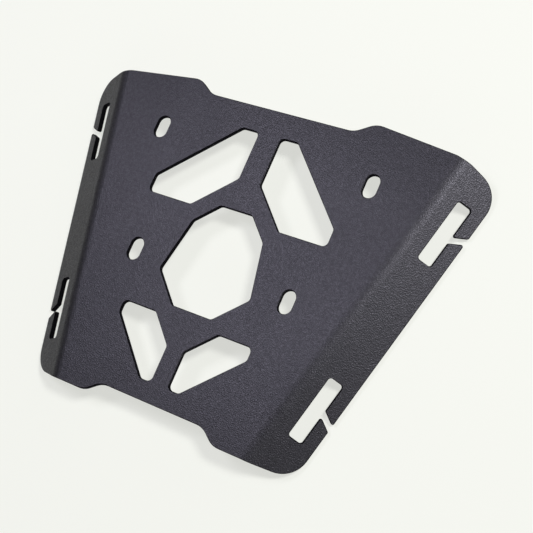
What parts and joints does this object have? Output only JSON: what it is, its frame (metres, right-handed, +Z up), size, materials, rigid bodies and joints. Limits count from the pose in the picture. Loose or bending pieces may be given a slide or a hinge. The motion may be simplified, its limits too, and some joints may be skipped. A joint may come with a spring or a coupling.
{
  "type": "motorcycle luggage rack",
  "caption": "Folded sheet-metal rear rack for a motorcycle: tapered deck with an octagon, diagonal cut-outs and bolt slots, side flanges with open strap slots.",
  "frame": {"origin": "middle of the footprint, on the surface that the flanges' outer edges rest on", "axes": "+X across the rack, +Y along it towards the wide end, +Z up through the deck"},
  "size_m": [0.27, 0.1998, 0.0165],
  "materials": {
    "powder_coat": "fine-textured matt powder coat, charcoal"
  },
  "bodies": {
    "root": {"rack_plate": "powder_coat"}
  },
  "joints": []
}
